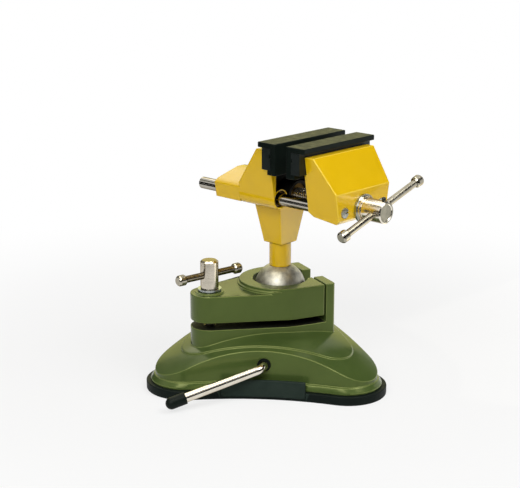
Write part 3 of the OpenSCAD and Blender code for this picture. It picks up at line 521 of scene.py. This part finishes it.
def white_surround():
    """World that looks white, and lights the object less than that."""
    world = bpy.data.worlds.new("studio")
    bpy.context.scene.world = world
    world.use_nodes = True
    tree = world.node_tree
    tree.nodes.clear()
    output = tree.nodes.new("ShaderNodeOutputWorld")
    background = tree.nodes.new("ShaderNodeBackground")
    background.inputs["Color"].default_value = WHITE
    strength = tree.nodes.new("ShaderNodeMapRange")
    strength.inputs["To Min"].default_value = WORLD_LIGHT
    strength.inputs["To Max"].default_value = 1.0
    tree.links.new(seen_directly(tree), strength.inputs["Value"])
    tree.links.new(strength.outputs["Result"], background.inputs["Strength"])
    tree.links.new(background.outputs["Background"], output.inputs["Surface"])


def floor_material():
    """Pale paint that keeps the object's shadow and fades to white away from the object."""
    material, tree, shader = start_material("floor_paint")
    shader.inputs["Base Color"].default_value = FLOOR_COLOUR
    shader.inputs["Roughness"].default_value = FLOOR_ROUGHNESS
    away = tree.nodes.new("ShaderNodeVectorMath")
    away.operation = "LENGTH"
    tree.links.new(object_coordinates(tree), away.inputs[0])
    whiter = tree.nodes.new("ShaderNodeMapRange")
    whiter.interpolation_type = "SMOOTHSTEP"
    whiter.inputs["From Min"].default_value = FADE_START
    whiter.inputs["From Max"].default_value = FADE_END
    whiter.inputs["To Min"].default_value = LEAST_GLOW
    whiter.inputs["To Max"].default_value = 1.0
    tree.links.new(away.outputs["Value"], whiter.inputs["Value"])
    share = tree.nodes.new("ShaderNodeMath")
    share.operation = "MULTIPLY"
    tree.links.new(seen_directly(tree), share.inputs[0])
    tree.links.new(whiter.outputs["Result"], share.inputs[1])
    glow = tree.nodes.new("ShaderNodeEmission")
    mix = tree.nodes.new("ShaderNodeMixShader")
    tree.links.new(share.outputs["Value"], mix.inputs["Fac"])
    tree.links.new(shader.outputs["BSDF"], mix.inputs[1])
    tree.links.new(glow.outputs["Emission"], mix.inputs[2])
    tree.links.new(mix.outputs["Shader"], tree.nodes["Material Output"].inputs["Surface"])
    return material


def pale_floor():
    """Square floor just under the object."""
    signs = [(-1, -1), (1, -1), (1, 1), (-1, 1)]
    corners = [(x * FLOOR_HALF, y * FLOOR_HALF, 0) for x, y in signs]
    mesh = bpy.data.meshes.new("floor")
    mesh.from_pydata(corners, [], [(0, 1, 2, 3)])
    mesh.materials.append(floor_material())
    floor = add_to_scene("floor", mesh)
    floor.location.z = cad_box[0][2] - FLOOR_GAP


white_surround()
pale_floor()


# Soft lamps, placed round the point that the camera looks at

LOOK_AT = Vector((-0.01076, -0.01013, 0.09796))
LAMP_SIZE = 0.7


def aim(thing, place, target):
    thing.location = place
    thing.rotation_euler = (target - place).to_track_quat("-Z", "Y").to_euler()


def out_and_up(turn, out, up):
    """Place at a distance out and a height, with its turn in degrees from -Y towards +X."""
    angle = math.radians(turn)
    return Vector((LOOK_AT.x + out * math.sin(angle), LOOK_AT.y - out * math.cos(angle), up))


def on_dome(rise, reach):
    """Distance out and height of a place at an angle above the point that the camera looks at."""
    angle = math.radians(rise)
    return reach * math.cos(angle), LOOK_AT.z + reach * math.sin(angle)


def soft_lamp(name, turn, rise, reach, power):
    lamp = bpy.data.lights.new(name, "AREA")
    lamp.size = LAMP_SIZE
    lamp.energy = power
    aim(add_to_scene(name, lamp), out_and_up(turn, *on_dome(rise, reach)), LOOK_AT)


soft_lamp("key", turn=26, rise=36, reach=1.4, power=11.0)
soft_lamp("top", turn=104, rise=55, reach=1.45, power=10.5)


# Cards that only show in reflections

# Brightness of the cards, where the white surround has 1
DARK = (0.01, 0.01, 0.009)
DIM = (0.25, 0.25, 0.2)
WARM = (1.3, 1.26, 0.54)
PALE = (2.6, 2.5, 2.2)
BRIGHT = (4.5, 4.3, 3.6)

BLACK = (0.0, 0.0, 0.0, 1.0)
CARD_REACH = 2.2
CARD_LIFT = 1 * MM
CARD_STEPS = 24


def card(name, turns, edges, colour):
    """Bent card between two turns and two edges, each edge a distance out and a height."""
    start, end = turns
    corners = [
        out_and_up(start + (end - start) * step / CARD_STEPS, *edge)
        for step in range(CARD_STEPS + 1) for edge in edges]
    faces = [(k, k + 2, k + 3, k + 1) for k in range(0, 2 * CARD_STEPS, 2)]
    mesh = bpy.data.meshes.new(name)
    mesh.from_pydata(corners, [], faces)
    material, _, shader = start_material(name)
    shader.inputs["Base Color"].default_value = BLACK
    shader.inputs["Specular IOR Level"].default_value = 0.0
    shader.inputs["Emission Color"].default_value = (*colour, 1.0)
    shader.inputs["Emission Strength"].default_value = 1.0
    mesh.materials.append(material)
    board = add_to_scene(name, mesh)
    board.visible_camera = False
    board.visible_diffuse = False
    board.visible_shadow = False


def dome_card(name, turns, rises, colour):
    """Card round the stage, between two angles above the point that the camera looks at."""
    card(name, turns, [on_dome(rise, CARD_REACH) for rise in rises], colour)


def flat_card(name, turns, reaches, colour):
    """Card just over the floor, between two distances out."""
    card(name, turns, [(reach, CARD_LIFT) for reach in reaches], colour)


dome_card("left_card", turns=(-150, -20), rises=(-1, 20), colour=DARK)
dome_card("side_card", turns=(-103, -55), rises=(20, 42), colour=DIM)
dome_card("low_card", turns=(-20, 130), rises=(-1, 33), colour=DARK)
dome_card("high_card", turns=(-70, 130), rises=(42, 57), colour=DARK)
dome_card("edge_card", turns=(-110, 150), rises=(57, 72), colour=BRIGHT)
dome_card("back_card", turns=(105, 195), rises=(24, 57), colour=DARK)
dome_card("far_card", turns=(195, 256), rises=(1, 28), colour=WARM)
dome_card("rim_card", turns=(225, 256), rises=(28, 46), colour=PALE)
flat_card("floor_card", turns=(-150, 105), reaches=(0.385, CARD_REACH), colour=DARK)
flat_card("right_card", turns=(112, 178), reaches=(0.15, 0.39), colour=PALE)


# Camera at the photograph's angle

CAMERA_AT = Vector((0.6156, -0.6760, 0.3515))
LENS = 90.0

camera = add_to_scene("camera", bpy.data.cameras.new("camera"))
camera.data.lens = LENS
aim(camera, CAMERA_AT, LOOK_AT)
bpy.context.scene.camera = camera
bpy.context.scene.view_settings.view_transform = "Standard"
